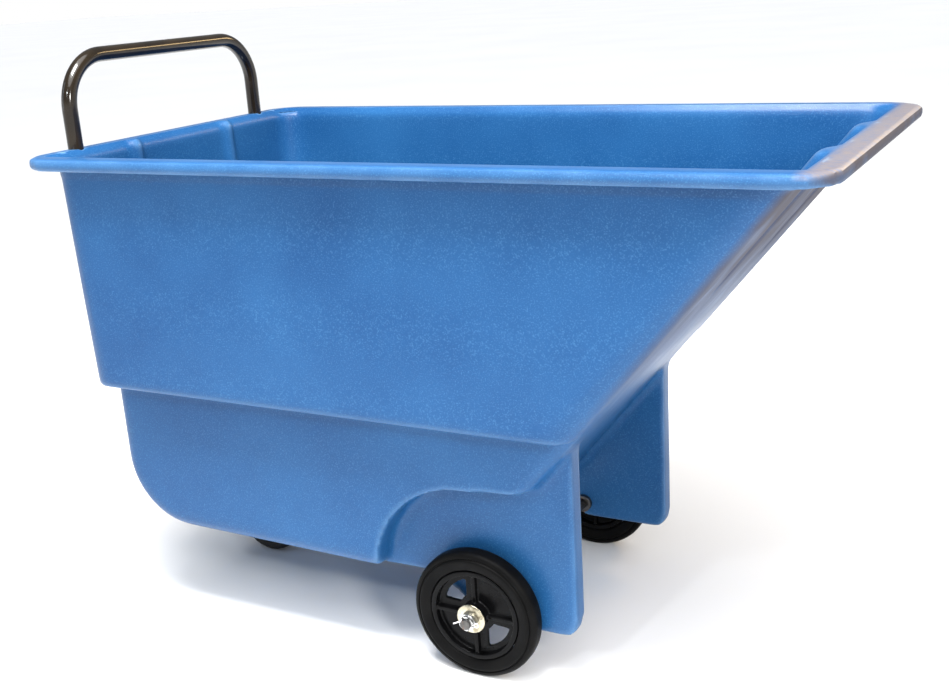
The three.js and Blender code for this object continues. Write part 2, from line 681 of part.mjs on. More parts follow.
// The main axle and what sits on it, worked out from the centre plane outwards.
const LEG_GAP = LEG.outer + FIT;
const INNER_WASHER = [LEG_GAP, LEG_GAP + 2.2];
const HUB_CENTRE = WHEEL_OUTER_FACE - WHEEL_WIDTH / 2;
const HUB_OUTSIDE = HUB_CENTRE + HUB.outer + 2;
const OUTER_WASHER = [HUB_OUTSIDE + FIT, HUB_OUTSIDE + FIT + 2.8];
const NUT_SEAT = OUTER_WASHER[1] + FIT;
const PIN_Y = NUT_SEAT + 13;
const AXLE_END = NUT_SEAT + 19;

const pinHoles = [-1, 1].map((side) =>
  roundSolid(SPLIT_PIN.hole, -20, 20, at(0, side * PIN_Y, 0), 'x', 12));
add('axle', cut(roundSolid(AXLE_RADIUS, -AXLE_END, AXLE_END, at(0, 0, 0)), ...pinHoles), steel,
  at(0, 0, WHEEL_RADIUS));

for (const [label, side] of [['near', -1], ['far', 1]]) {
  const end = new THREE.Group();
  end.position.set(0, 0, WHEEL_RADIUS);
  end.rotation.z = side < 0 ? Math.PI : 0;
  cart.add(end);
  const bore = AXLE_RADIUS + BORE_CLEARANCE;
  const inLeg = [LEG.inner + WALL + FIT, LEG.outer - WALL - FIT];
  const collar = [LEG.inner - FIT - 9, LEG.inner - FIT];
  add(`axle_collar_${label}`, washer(bore, 15, ...collar), steel, at(0, 0, 0), end);
  add(`leg_sleeve_${label}`, washer(bore, 10.6, ...inLeg), blackPlastic, at(0, 0, 0), end);
  add(`inner_washer_${label}`, washer(bore, 17, ...INNER_WASHER), zinc, at(0, 0, 0), end);
  add(`outer_washer_${label}`, washer(bore, 23, ...OUTER_WASHER), zinc, at(0, 0, 0), end);
  add(`castle_nut_${label}`, castleNut(), zinc, at(0, NUT_SEAT, 0), end);
  add(`cotter_pin_${label}`, cotterPin(), zinc, at(0, PIN_Y, 0), end);
  add(`tyre_${label}`, tyre(), blackRubber, at(0, HUB_CENTRE, 0), end);
  add(`hub_${label}`, hub(), blackPlastic, at(0, HUB_CENTRE, 0), end);
  add(`hub_bush_outer_${label}`, hubBush(), nylon, at(0, HUB_CENTRE + HUB.outer, 0), end);
  const inner = add(`hub_bush_inner_${label}`, hubBush(), nylon,
    at(0, HUB_CENTRE + HUB.inner, 0), end);
  inner.rotation.x = Math.PI;
}

const caster = new THREE.Group();
caster.position.set(CASTER.x, 0, 0);
cart.add(caster);
add('caster_top_plate', casterTopPlate(), zinc, at(0, 0, 0), caster);
const backing = [BOSS.floor + FIT, BOSS.floor + FIT + CASTER_PLATE.backing];
add('caster_backing_plate', platePiece(...CASTER_PLATE.half, ...backing, 0), zinc,
  at(0, 0, 0), caster);
casterHolePlaces().forEach(([x, y], i) => {
  const top = backing[1] + FIT;
  const down = add(`caster_bolt_${i + 1}`, bolt(BOLT_RADIUS, CASTER_BOLT.flats,
    CASTER_BOLT.headHeight, CASTER_BOLT.length), zinc, at(x, y, top), caster);
  down.rotation.x = -Math.PI / 2;
  const nut = add(`caster_nut_${i + 1}`, hexNut(NUT_BORE, CASTER_BOLT.flats,
    CASTER_BOLT.nutHeight), zinc, at(x, y, SWIVEL.plateUnder - FIT), caster);
  nut.rotation.x = -Math.PI / 2;
});
add('caster_kingpin', kingpin(), steel, at(0, 0, 0), caster);
add('caster_ball_ring', ballRing(), steel, at(0, 0, 0), caster);
add('caster_fork', casterFork(), zinc, at(0, 0, 0), caster);

const casterAxle = at(-CASTER.trail, 0, CASTER.radius);
const cheekOutside = CASTER.width / 2 + 6 + FIT;
add('caster_axle_bolt', bolt(CASTER_AXLE.bolt, CASTER_AXLE.flats, CASTER_AXLE.headHeight,
  2 * cheekOutside + CASTER_AXLE.spare), zinc,
  at(casterAxle.x, -cheekOutside, casterAxle.z), caster);
add('caster_axle_nut', hexNut(CASTER_AXLE.bore, CASTER_AXLE.flats, CASTER_AXLE.nutHeight), zinc,
  at(casterAxle.x, cheekOutside, casterAxle.z), caster);
add('caster_bush', washer(CASTER_AXLE.bore, 8, -18.6, 18.6), nylon, casterAxle, caster);
add('caster_core', casterCore(), blackPlastic, casterAxle, caster);
add('caster_tread', casterTread(), greyRubber, casterAxle, caster);

export default cart;
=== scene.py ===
# %% [markdown]
# # A garden cart
#
# This lesson dresses a plain CAD model of a moulded garden cart: a blue tub, a black tube
# handle, two black wheels and a swivel caster. The CAD model is the fixed frame. Every new
# piece goes where the frame says, so nothing has to be fitted by eye.

# %% Load the frame
import math
import json

import bpy
import bmesh
from mathutils import Matrix, Vector


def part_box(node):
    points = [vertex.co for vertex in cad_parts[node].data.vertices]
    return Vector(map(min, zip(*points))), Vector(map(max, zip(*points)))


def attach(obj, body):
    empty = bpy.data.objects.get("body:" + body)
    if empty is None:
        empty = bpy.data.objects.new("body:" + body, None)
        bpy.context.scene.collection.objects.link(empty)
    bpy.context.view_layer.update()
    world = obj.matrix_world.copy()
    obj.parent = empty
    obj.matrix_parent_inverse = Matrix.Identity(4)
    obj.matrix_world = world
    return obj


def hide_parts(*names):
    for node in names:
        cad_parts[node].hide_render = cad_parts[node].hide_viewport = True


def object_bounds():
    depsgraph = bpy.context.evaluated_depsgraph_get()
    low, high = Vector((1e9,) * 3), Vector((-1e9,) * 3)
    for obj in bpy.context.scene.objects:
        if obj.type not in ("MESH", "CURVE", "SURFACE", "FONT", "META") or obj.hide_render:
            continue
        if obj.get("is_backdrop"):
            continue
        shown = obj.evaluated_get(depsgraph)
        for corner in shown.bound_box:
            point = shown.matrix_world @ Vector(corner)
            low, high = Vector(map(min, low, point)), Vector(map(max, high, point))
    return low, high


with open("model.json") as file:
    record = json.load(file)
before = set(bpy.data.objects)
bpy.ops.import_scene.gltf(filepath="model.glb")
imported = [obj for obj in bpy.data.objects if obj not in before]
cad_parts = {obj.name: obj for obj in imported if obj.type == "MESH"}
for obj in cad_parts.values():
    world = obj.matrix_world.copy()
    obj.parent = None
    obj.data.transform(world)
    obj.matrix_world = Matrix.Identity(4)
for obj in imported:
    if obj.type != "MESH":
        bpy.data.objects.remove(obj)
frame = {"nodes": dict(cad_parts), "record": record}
cad_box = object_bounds()
MM = 0.001

# %% [markdown]
# ## Reading the frame
#
# The tub's rim, the wheel and the handle are measured from their boxes. The numbers are kept
# in millimetres, because that is how a moulder would speak of a wall or a corner.

# %% Measure the frame in millimetres
def box_mm(node):
    low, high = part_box(node)
    return low / MM, high / MM


tub_low, tub_high = box_mm("tub")
tyre_low, tyre_high = box_mm("tyre_near")
handle_low, handle_high = box_mm("handle_tube")
RIM_TOP = tub_high.z
RIM_HALF = tub_high.y
WHEEL_RADIUS = (tyre_high.z - tyre_low.z) / 2
WHEEL_HALF = (tyre_high.y - tyre_low.y) / 2
WHEEL_MIDDLE = (tyre_high + tyre_low) / 2
HANDLE_X = (handle_low.x + handle_high.x) / 2
TUBE_RADIUS = (handle_high.x - handle_low.x) / 2
HANDLE_HALF = handle_high.y - TUBE_RADIUS
print("rim top", round(RIM_TOP, 1), "wheel radius", round(WHEEL_RADIUS, 1))
print("tube radius", round(TUBE_RADIUS, 2), "handle half width", round(HANDLE_HALF, 1))

# %% [markdown]
# ## Hand tools
#
# An operator acts on everything that is selected, so each step starts by choosing one piece.
# These few helpers do what a hand would do with the mouse: pick one object, pick edges by
# where they lie, bevel them, and join or cut one solid with another.

# %% Choose one object
def only(piece):
    if bpy.context.object and bpy.context.object.mode != "OBJECT":
        bpy.ops.object.mode_set(mode="OBJECT")
    bpy.ops.object.select_all(action="DESELECT")
    piece.select_set(True)
    bpy.context.view_layer.objects.active = piece


def nothing():
    bpy.ops.object.select_all(action="DESELECT")


nothing()

# %% Draw an outline and pull it into a solid
def outline(name, corners, place):
    nothing()
    bpy.ops.mesh.primitive_circle_add(vertices=len(corners), radius=1, fill_type="NGON")
    piece = bpy.context.object
    piece.name = name
    for vertex, corner in zip(piece.data.vertices, corners):
        vertex.co = Vector(place(*corner)) * MM
    return piece


def pull(piece, step):
    only(piece)
    bpy.ops.object.mode_set(mode="EDIT")
    bpy.ops.mesh.select_all(action="SELECT")
    move = tuple(value * MM for value in step)
    bpy.ops.mesh.extrude_region_move(TRANSFORM_OT_translate={"value": move})
    face_outwards()
    bpy.ops.object.mode_set(mode="OBJECT")
    return piece


def face_outwards():
    bpy.ops.mesh.select_all(action="SELECT")
    bpy.ops.mesh.normals_make_consistent(inside=False)


def side_prism(name, corners, low, high):
    piece = outline(name, corners, lambda x, z: (x, low, z))
    return pull(piece, (0, high - low, 0))


def plan_prism(name, corners, low, high):
    piece = outline(name, corners, lambda x, y: (x, y, low))
    return pull(piece, (0, 0, high - low))


# %% Round the edges that a rule picks
def bevel(piece, rule, width, segments):
    only(piece)
    bpy.ops.object.mode_set(mode="EDIT")
    bpy.ops.mesh.select_mode(type="EDGE")
    bpy.ops.mesh.select_all(action="DESELECT")
    mesh = bmesh.from_edit_mesh(piece.data)
    for edge in mesh.edges:
        ends = [vertex.co / MM for vertex in edge.verts]
        edge.select = bool(rule(*ends))
    bmesh.update_edit_mesh(piece.data)
    bpy.ops.mesh.bevel(offset=width * MM, segments=segments, affect="EDGES",
                       clamp_overlap=False)
    bpy.ops.object.mode_set(mode="OBJECT")


# %% Join and cut solids
def combine(piece, other, operation):
    only(piece)
    step = piece.modifiers.new("combine", "BOOLEAN")
    step.object = other
    step.operation = operation
    step.solver = "EXACT"
    bpy.ops.object.modifier_apply(modifier=step.name)
    bpy.data.objects.remove(other)
    return piece


def gather(piece, *others):
    only(piece)
    for other in others:
        other.select_set(True)
    bpy.ops.object.join()
    return piece


def cut_from(piece, *others):
    for other in others:
        combine(piece, other, "DIFFERENCE")
    return piece


# %% Melt a solid into soft moulded corners
def fair(piece, grain, passes, keep=1.0):
    only(piece)
    remesh = piece.modifiers.new("grain", "REMESH")
    remesh.mode = "VOXEL"
    remesh.voxel_size = grain * MM
    bpy.ops.object.modifier_apply(modifier=remesh.name)
    soften = piece.modifiers.new("soften", "SMOOTH")
    soften.factor = 0.5
    soften.iterations = passes
    bpy.ops.object.modifier_apply(modifier=soften.name)
    if keep < 1:
        thin = piece.modifiers.new("thin", "DECIMATE")
        thin.ratio = keep
        bpy.ops.object.modifier_apply(modifier=thin.name)
    print(piece.name, "faces", len(piece.data.polygons))
    return piece


def smooth(piece, degrees):
    only(piece)
    bpy.ops.object.shade_smooth_by_angle(angle=math.radians(degrees))


# %% Rods and turned rings
def rod(name, radius, start, end, sides=32):
    nothing()
    start, end = Vector(start), Vector(end)
    along = end - start
    bpy.ops.mesh.primitive_cylinder_add(vertices=sides, radius=radius * MM,
                                        depth=along.length * MM)
    piece = bpy.context.object
    piece.name = name
    turn = Vector((0, 0, 1)).rotation_difference(along.normalized()).to_matrix().to_4x4()
    piece.matrix_world = Matrix.Translation((start + end) / 2 * MM) @ turn
    bpy.ops.object.transform_apply()
    return piece


def turned(name, profile, centre, steps=64):
    along, out = Vector((0, 1, 0)), Vector((0, 0, 1))
    middle = Vector(centre)
    nothing()
    bpy.ops.mesh.primitive_circle_add(vertices=len(profile), radius=1, fill_type="NOTHING")
    piece = bpy.context.object
    piece.name = name
    for vertex, (radius, level) in zip(piece.data.vertices, profile):
        vertex.co = (middle + out * radius + along * level) * MM
    bpy.ops.object.mode_set(mode="EDIT")
    bpy.ops.mesh.select_all(action="SELECT")
    bpy.ops.mesh.spin(steps=steps, angle=math.tau, center=middle * MM, axis=along)
    bpy.ops.mesh.select_all(action="SELECT")
    bpy.ops.mesh.remove_doubles(threshold=0.01 * MM)
    face_outwards()
    bpy.ops.object.mode_set(mode="OBJECT")
    return piece


# %% A half-turned copy for the far side
def far_copy(piece, name):
    only(piece)
    bpy.ops.object.duplicate()
    copy = bpy.context.object
    copy.name = name
    bpy.ops.transform.rotate(value=math.pi, orient_axis="Z", center_override=(0, 0, 0))
    bpy.ops.object.transform_apply()
    return copy


# %% [markdown]
# ## The front slope
#
# The front wall leans out to the pouring lip, so a load slides out when the cart is tipped.
# One point of the slope and its gradient give its place at any height.

# %% Tub dimensions
WALL = 6
LEDGE = 412
SLOPE_X, SLOPE_Z, SLOPE_RISE = 104, 315, 1.217
TOP_REAR, TOP_HALF = -660, 311
FOOT_REAR, FOOT_HALF = -653, 305
LOWER_REAR, LOWER_HALF = -645, 260
LEG_INNER, LEG_OUTER = 180, 213
ARCH_RADIUS, ARCH_Z = 157, 148
RIB_Y = 118
RIM_LIP, LIP_WALL, RIM_CORNER = 20, 5, 60
REAR_CORNER, FRONT_CORNER = 46, 30
HEEL, TOE, LONG_EDGE = 115, 45, 26
CASTER_X = -520
BOLT_HOLE, AXLE_HOLE = 4.4, 8.4
AXLE_Z = WHEEL_MIDDLE.z


def slope_x(z, inset=0):
    return SLOPE_X + (z - SLOPE_Z) / SLOPE_RISE - inset * math.hypot(1, 1 / SLOPE_RISE)


def upper_section(z, inset):
    share = (z - LEDGE) / (RIM_TOP - LEDGE)
    rear = FOOT_REAR + (TOP_REAR - FOOT_REAR) * share + inset
    half = FOOT_HALF + (TOP_HALF - FOOT_HALF) * share - inset
    return rear, slope_x(z, inset), half


print("slope meets the rim at", round(slope_x(RIM_TOP), 1))

# %% [markdown]
# ## The tub's parts
#
# The real tub is one hollow moulding with no sharp corner. It could be pushed out of a single
# box, but the step, arches and legs would make that mesh hard to follow. Here each part is a
# plain solid, drawn once at its outside size and once more, a wall thinner, for the hollow.

# %% Upper tub
def upper(inset, low, high):
    rear, front, half = upper_section(low, inset)
    corners = [(rear, -half), (front, -half), (front, half), (rear, half)]
    piece = plan_prism("upper", corners, low, high)
    top_rear, top_front, top_half = upper_section(high, inset)
    for vertex in piece.data.vertices:
        if vertex.co.z > (high - 1) * MM:
            vertex.co.x = (top_rear if vertex.co.x < 0 else top_front) * MM
            vertex.co.y = math.copysign(top_half, vertex.co.y) * MM

    def upright(a, b):
        return abs(a.z - b.z) > 30 and a.y * b.y > 0

    bevel(piece, lambda a, b: upright(a, b) and a.x < 0, REAR_CORNER - inset, 8)
    bevel(piece, lambda a, b: upright(a, b) and a.x > 0 and b.x > 0, FRONT_CORNER - inset, 6)
    return piece


# %% Lower tub
def lower(inset, top):
    half = LOWER_HALF - inset
    rear = LOWER_REAR + inset
    floor_rear, floor_front = 160 + inset, 149 + inset
    corners = [(rear, top), (slope_x(top, inset), top),
               (slope_x(floor_front, inset), floor_front), (rear, floor_rear)]
    piece = side_prism("lower", corners, -half, half)

    def across(a, b):
        return abs(a.y - b.y) > 300

    bevel(piece, lambda a, b: across(a, b) and a.x < -600 and a.z < 300, HEEL - inset, 12)
    bevel(piece, lambda a, b: across(a, b) and a.z < 200 and a.x > -200, TOE, 6)
    bevel(piece, lambda a, b: abs(a.y - b.y) < 1 and min(a.z, b.z) < top - 1,
          LONG_EDGE - inset, 5)
    return piece


# %% Wheel arches and legs
def arch(side, grow):
    radius = ARCH_RADIUS + grow
    turn = [math.pi / 2 * step / 16 for step in range(17)]
    corners = [(-radius, -60)]
    corners += [(-radius * math.cos(a), ARCH_Z + radius * math.sin(a)) for a in turn]
    corners += [(400, ARCH_Z + radius + 30), (400, -60)]
    return side_prism("arch", corners, side * (LEG_OUTER - grow), side * 330)


def leg(side, inset):
    slant = inset * 0.35
    corners = [(150 - inset, 73 + inset), (150 - inset, 376), (-178 + inset, 376),
               (-178 + inset, 139 + inset), (-78 + slant, 139 + inset), (5 + slant, 73 + inset)]
    low, high = LEG_INNER + inset, LEG_OUTER - inset
    piece = side_prism("leg", corners, side * low, side * high)
    bevel(piece, lambda a, b: abs(a.y - b.y) > 10 and a.x > 100 and a.z < 150, 24 - inset, 5)
    return piece


# %% Rim slab
def rim(inset, low, high):
    rear, front, half = tub_low.x + inset, tub_high.x - inset, RIM_HALF - inset
    corners = [(rear, -half), (front, -half), (front, half), (rear, half)]
    piece = plan_prism("rim", corners, low, high)
    bevel(piece, lambda a, b: abs(a.z - b.z) > 5, RIM_CORNER - inset, 10)
    return piece


# %% [markdown]
# ## Ribs
#
# A flat plastic wall would drum and sag. Two broad ribs stiffen the top of the slope and fade
# out down it: a stretched ball half sunk in the wall does that in one move. Two narrow upright
# ribs stiffen the rear wall, and end in a small notch in the rim.

# %% Rib solids
def slope_rib(side, height, half_width, inset, top):
    nothing()
    bpy.ops.mesh.primitive_uv_sphere_add(segments=48, ring_count=24, radius=1)
    piece = bpy.context.object
    run = Vector((1, 0, SLOPE_RISE)).normalized()
    rise = Vector((-SLOPE_RISE, 0, 1)).normalized()
    turn = Matrix((run, Vector((0, 1, 0)), rise)).transposed().to_4x4()
    size = Matrix.Diagonal((225 * MM, half_width * MM, height * MM, 1))
    middle = Vector((slope_x(top, inset), side * RIB_Y, top)) * MM
    piece.data.transform(Matrix.Translation(middle) @ turn @ size)
    only(piece)
    bpy.ops.object.mode_set(mode="EDIT")
    face_outwards()
    bpy.ops.object.mode_set(mode="OBJECT")
    return piece


def rear_rib(side):
    low, high = 440, RIM_TOP + 4
    corners = [(TOP_REAR - 2, side * RIB_Y - 14), (TOP_REAR + 15, side * RIB_Y - 12),
               (TOP_REAR + 15, side * RIB_Y + 12), (TOP_REAR - 2, side * RIB_Y + 14)]
    piece = plan_prism("rear_rib", corners, low, high)
    for vertex in piece.data.vertices:
        if vertex.co.z < (low + 1) * MM:
            vertex.co.x += 6 * MM
    return piece


# %% [markdown]
# ## Outside and hollow
#
# Both solids are melted: a remesh turns them into an even skin of small squares, and a few
# passes of smoothing round every corner at once, as the moulding does. The remesh also merges
# parts that overlap, so they are only gathered into one mesh first. Cutting the hollow out of
# the outside leaves a wall of even thickness.

# %% The flat pad that the caster is bolted to
def pad(name, reach_x, reach_y, low, high):
    corners = [(CASTER_X + x * reach_x, y * reach_y)
               for x, y in ((-1, -1), (1, -1), (1, 1), (-1, 1))]
    return plan_prism(name, corners, low, high)


# %% Outside of the tub
def outside():
    shell = upper(0, LEDGE, RIM_TOP - 2)
    cut_from(shell, slope_rib(-1, 11, 27, 0, 752), slope_rib(1, 11, 27, 0, 752))
    body = lower(0, LEDGE + 4)
    cut_from(body, arch(-1, 0), arch(1, 0))
    gather(shell, body, leg(-1, 0), leg(1, 0), rim(0, RIM_TOP - RIM_LIP, RIM_TOP),
           pad("pad", 54, 38, 153, 174))
    return fair(shell, 6, 7, 0.42)


tub = outside()
tub.name = "tub_shell"

# %% Hollow of the tub
def hollow():
    space = upper(WALL, LEDGE + WALL, RIM_TOP + 12)
    cut_from(space, slope_rib(-1, 14, 34, WALL, RIM_TOP), slope_rib(1, 14, 34, WALL, RIM_TOP))
    cut_from(space, rear_rib(-1), rear_rib(1))
    body = lower(WALL, LEDGE + WALL + 4)
    cut_from(body, arch(-1, WALL), arch(1, WALL))
    cut_from(body, pad("pad", 56, 40, 140, 173))
    mouth = upper(1, RIM_TOP - 5, RIM_TOP + 12)
    cut_from(mouth, rear_rib(-1), rear_rib(1))
    gather(space, body, leg(-1, WALL), leg(1, WALL), mouth, upper(-6, RIM_TOP + 1, RIM_TOP + 12))
    return fair(space, 6, 6, 0.42)


cut_from(tub, hollow())
print("tub shell faces", len(tub.data.polygons))

# %% [markdown]
# ## Under the rim, and the holes
#
# The rim is a turned-down lip, hollow underneath. The groove is cut after the melting, so the
# lip keeps its thin edge. The handle legs, bolts and axle each get their drilled hole.

# %% Hollow under the rim
groove = rim(LIP_WALL, 738, RIM_TOP - WALL)
cut_from(groove, upper(-0.6, 730, RIM_TOP + 2))
cut_from(tub, groove)

# %% Drill the holes and face the caster pad
def handle_bolt_z(label, level):
    low, high = box_mm(f"handle_bolt_{label}_{level}")
    return (low.z + high.z) / 2


def drill_list():
    drills = []
    for label, side in (("near", -1), ("far", 1)):
        y = side * HANDLE_HALF
        drills.append(rod("drill", TUBE_RADIUS + 0.6, (HANDLE_X, y, 745), (HANDLE_X, y, 795), 48))
        for level in (1, 2):
            z = handle_bolt_z(label, level)
            drills.append(rod("drill", BOLT_HOLE, (-670, y, z), (-630, y, z), 20))
        start, end = (0, side * 150, AXLE_Z), (0, side * 240, AXLE_Z)
        drills.append(rod("drill", AXLE_HOLE, start, end, 40))
    for index in range(1, 5):
        low, high = box_mm(f"caster_bolt_{index}")
        x, y = (low.x + high.x) / 2, (low.y + high.y) / 2
        drills.append(rod("drill", BOLT_HOLE, (x, y, 140), (x, y, 190), 20))
    return drills


plate_top = box_mm("caster_top_plate")[1].z + 0.3
pad_top = box_mm("caster_backing_plate")[0].z - 0.3
under = pad("under", 60, 44, 120, plate_top)
above = pad("above", 48, 34, pad_top, 190)
cut_from(tub, under, above, *drill_list())
smooth(tub, 38)
print("tub faces after drilling", len(tub.data.polygons))

# %% [markdown]
# ## The handle
#
# The handle is one steel tube, bent twice. A circle is pulled straight up, spun a quarter turn
# round each bend's centre and pulled on, which is how a tube bender works. A wall is added
# last, because the feet are open.

# %% Bend the handle tube
BEND = 80
foot_z = handle_low.z
top_z = handle_high.z - TUBE_RADIUS


def pull_ring(step):
    move = tuple(value * MM for value in step)
    bpy.ops.mesh.extrude_region_move(TRANSFORM_OT_translate={"value": move})


def bend_ring(centre):
    bpy.ops.mesh.spin(steps=18, angle=math.pi / 2, center=Vector(centre) * MM, axis=(1, 0, 0))


nothing()
bpy.ops.mesh.primitive_circle_add(vertices=40, radius=TUBE_RADIUS * MM, fill_type="NOTHING",
                                  location=Vector((HANDLE_X, -HANDLE_HALF, foot_z)) * MM)
handle = bpy.context.object
handle.name = "handle"
bpy.ops.object.transform_apply()
bpy.ops.object.mode_set(mode="EDIT")
bpy.ops.mesh.select_all(action="SELECT")
pull_ring((0, 0, top_z - BEND - foot_z))
bend_ring((HANDLE_X, -HANDLE_HALF + BEND, top_z - BEND))
pull_ring((0, 2 * (HANDLE_HALF - BEND), 0))
bend_ring((HANDLE_X, HANDLE_HALF - BEND, top_z - BEND))
pull_ring((0, 0, -(top_z - BEND - foot_z)))
bpy.ops.mesh.select_all(action="SELECT")
bpy.ops.mesh.remove_doubles(threshold=0.02 * MM)
face_outwards()
bpy.ops.object.mode_set(mode="OBJECT")
wall = handle.modifiers.new("wall", "SOLIDIFY")
wall.thickness = 2 * MM
wall.offset = -1
bpy.ops.object.modifier_apply(modifier=wall.name)
smooth(handle, 40)
print("handle size", [round(value / MM, 1) for value in handle.dimensions])

# %% Drill the handle for its bolts
for label, side in (("near", -1), ("far", 1)):
    for level in (1, 2):
        y, z = side * HANDLE_HALF, handle_bolt_z(label, level)
        cut_from(handle, rod("drill", BOLT_HOLE, (-700, y, z), (-650, y, z), 20))
smooth(handle, 40)

# %% [markdown]
# ## Tyres
#
# A solid rubber tyre is a body of revolution, so its section is drawn once and spun. The
# raised bead near the tread and the step at the hub catch the light as thin rings.

# %% Turn the tyre
def tyre_profile():
    r, w = WHEEL_RADIUS, WHEEL_HALF
    half = [(r, 0), (r, w - 11), (r - 0.5, w - 8), (r - 1.8, w - 5.4), (r - 3.8, w - 3.4),
            (r - 6.2, w - 2.4), (r - 8.2, w - 2.2), (r - 9.0, w - 3.4), (r - 10.2, w - 3.4),
            (r - 11.2, w - 1.2), (r - 12.4, w - 0.3), (r - 14, w), (r - 17, w - 0.3),
            (r - 23, w - 1.5), (r - 26.4, w - 2.4), (r - 27.6, w - 3.2), (r - 28.6, w - 5.0),
            (r - 28.9, w - 8)]
    return half + [(radius, -level) for radius, level in reversed(half[1:])]


tyre = turned("tyre_left", tyre_profile(), WHEEL_MIDDLE, steps=96)
smooth(tyre, 50)
tyre_far = far_copy(tyre, "tyre_right")
print("tyre faces", len(tyre.data.polygons))

# %% [markdown]
# ## Hubs
#
# The hub is injection moulded: a ring, a web, four spokes and a boss, with two opposite
# quarters of the web left open. The parts are gathered and then melted at a finer grain than
# the tub, which gives the small fillets that a mould leaves.

# %% Hub parts
HUB_RING, HUB_RECESS, HUB_BOSS = 72, 64, 20
WINDOW_OUTER, WINDOW_INNER = 55, 30
HUB_BORE, BUSH_SEAT = 9.4, 11.5
hub_low, hub_high = box_mm("hub_near")


def hub_part(name, profile):
    return turned(name, profile, WHEEL_MIDDLE, steps=72)


def at_hub(radius, angle):
    a = math.radians(angle)
    return WHEEL_MIDDLE.x + radius * math.cos(a), WHEEL_MIDDLE.z + radius * math.sin(a)


def spoke(angle):
    a = math.radians(angle)
    out, across = (math.cos(a), math.sin(a)), (-math.sin(a) * 3.5, math.cos(a) * 3.5)
    corners = []
    for reach, sign in ((16, -1), (68, -1), (68, 1), (16, 1)):
        corners.append((WHEEL_MIDDLE.x + out[0] * reach + across[0] * sign,
                        WHEEL_MIDDLE.z + out[1] * reach + across[1] * sign))
    return side_prism("spoke", corners, WHEEL_MIDDLE.y - 10.5, WHEEL_MIDDLE.y + 10.5)


def window(first):
    outer = [at_hub(WINDOW_OUTER, first + step) for step in range(17, 74, 7)]
    inner = [at_hub(WINDOW_INNER, first + step) for step in range(62, 27, -7)]
    return side_prism("window", outer + inner, WHEEL_MIDDLE.y - 8, WHEEL_MIDDLE.y + 8)


# %% Join, melt and bore the hub
def make_hub():
    ring_half = WHEEL_HALF - 3
    ring = hub_part("hub_left", [(HUB_RECESS, -ring_half), (HUB_RING, -ring_half),
                                 (HUB_RING, ring_half), (HUB_RECESS, ring_half)])
    web = hub_part("web", [(12, -3), (HUB_RECESS + 3, -3), (HUB_RECESS + 3, 3), (12, 3)])
    cut_from(web, window(90), window(270))
    low, high = hub_low.y - WHEEL_MIDDLE.y, hub_high.y - WHEEL_MIDDLE.y
    boss = hub_part("boss", [(5, low), (HUB_BOSS, low), (HUB_BOSS, high), (5, high)])
    gather(ring, web, boss, *[spoke(angle) for angle in (0, 90, 180, 270)])
    fair(ring, 1.3, 3, 0.5)
    first, last = hub_low.y - 5, hub_high.y + 5
    bore = rod("bore", HUB_BORE, (0, first, AXLE_Z), (0, last, AXLE_Z), 48)
    seats = [rod("seat", BUSH_SEAT, (0, first, AXLE_Z), (0, hub_low.y + 14, AXLE_Z), 48),
             rod("seat", BUSH_SEAT, (0, hub_high.y - 14, AXLE_Z), (0, last, AXLE_Z), 48)]
    return cut_from(ring, bore, *seats)


hub = make_hub()
smooth(hub, 45)
hub_far = far_copy(hub, "hub_right")
print("hub faces", len(hub.data.polygons))

# %% [markdown]
# ## What sits on the axle ends
#
# A broad plated washer, a slotted nut and a split pin keep the wheel on. The washer is spun
# with rolled edges. The nut is a six sided prism with a round crown and three slots across it.

# %% Plated washer
washer_low, washer_high = box_mm("outer_washer_near")
washer_radius = (washer_high.z - washer_low.z) / 2
washer_middle = (washer_low + washer_high) / 2
thick = (washer_high.y - washer_low.y) / 2
section = [(8.15, -thick + 0.4), (8.6, -thick), (washer_radius - 1, -thick),
           (washer_radius - 0.3, -thick * 0.6), (washer_radius, 0),
           (washer_radius - 0.3, thick * 0.6), (washer_radius - 1, thick), (8.6, thick),
           (8.15, thick - 0.4)]
end_washer = turned("end_washer_left", section, washer_middle, steps=64)
smooth(end_washer, 40)
end_washer_far = far_copy(end_washer, "end_washer_right")
print("washer radius", round(washer_radius, 1))

# %% Slotted nut
nut_low, nut_high = box_mm("castle_nut_near")
NUT_HALF_FLATS, NUT_CROWN = 12, 11.4


def slotted_nut():
    seat, face = nut_high.y, nut_low.y
    reach = NUT_HALF_FLATS / math.cos(math.pi / 6)
    points = [(reach * math.cos(math.pi / 3 * k), AXLE_Z + reach * math.sin(math.pi / 3 * k))
              for k in range(6)]
    nut = side_prism("slotted_nut_left", points, seat - 10, seat)
    crown = rod("crown", NUT_CROWN, (0, seat - 9, AXLE_Z), (0, face, AXLE_Z), 48)
    combine(nut, crown, "UNION")
    for angle in (0, 60, 120):
        a = math.radians(angle)
        run, side = Vector((math.cos(a), 0, math.sin(a))), Vector((-math.sin(a), 0, math.cos(a)))
        corners = [run * -20 - side * 2, run * 20 - side * 2, run * 20 + side * 2,
                   run * -20 + side * 2]
        slot = side_prism("slot", [(c.x, AXLE_Z + c.z) for c in corners], face - 3, face + 4)
        cut_from(nut, slot)
    cut_from(nut, rod("bore", 8.1, (0, seat + 5, AXLE_Z), (0, face - 5, AXLE_Z), 48))
    edge = nut.modifiers.new("edge", "BEVEL")
    edge.width = 0.45 * MM
    edge.segments = 2
    edge.limit_method = "ANGLE"
    edge.angle_limit = math.radians(40)
    only(nut)
    bpy.ops.object.modifier_apply(modifier=edge.name)
    return nut


slotted = slotted_nut()
smooth(slotted, 40)
slotted_far = far_copy(slotted, "slotted_nut_right")
print("nut faces", len(slotted.data.polygons))

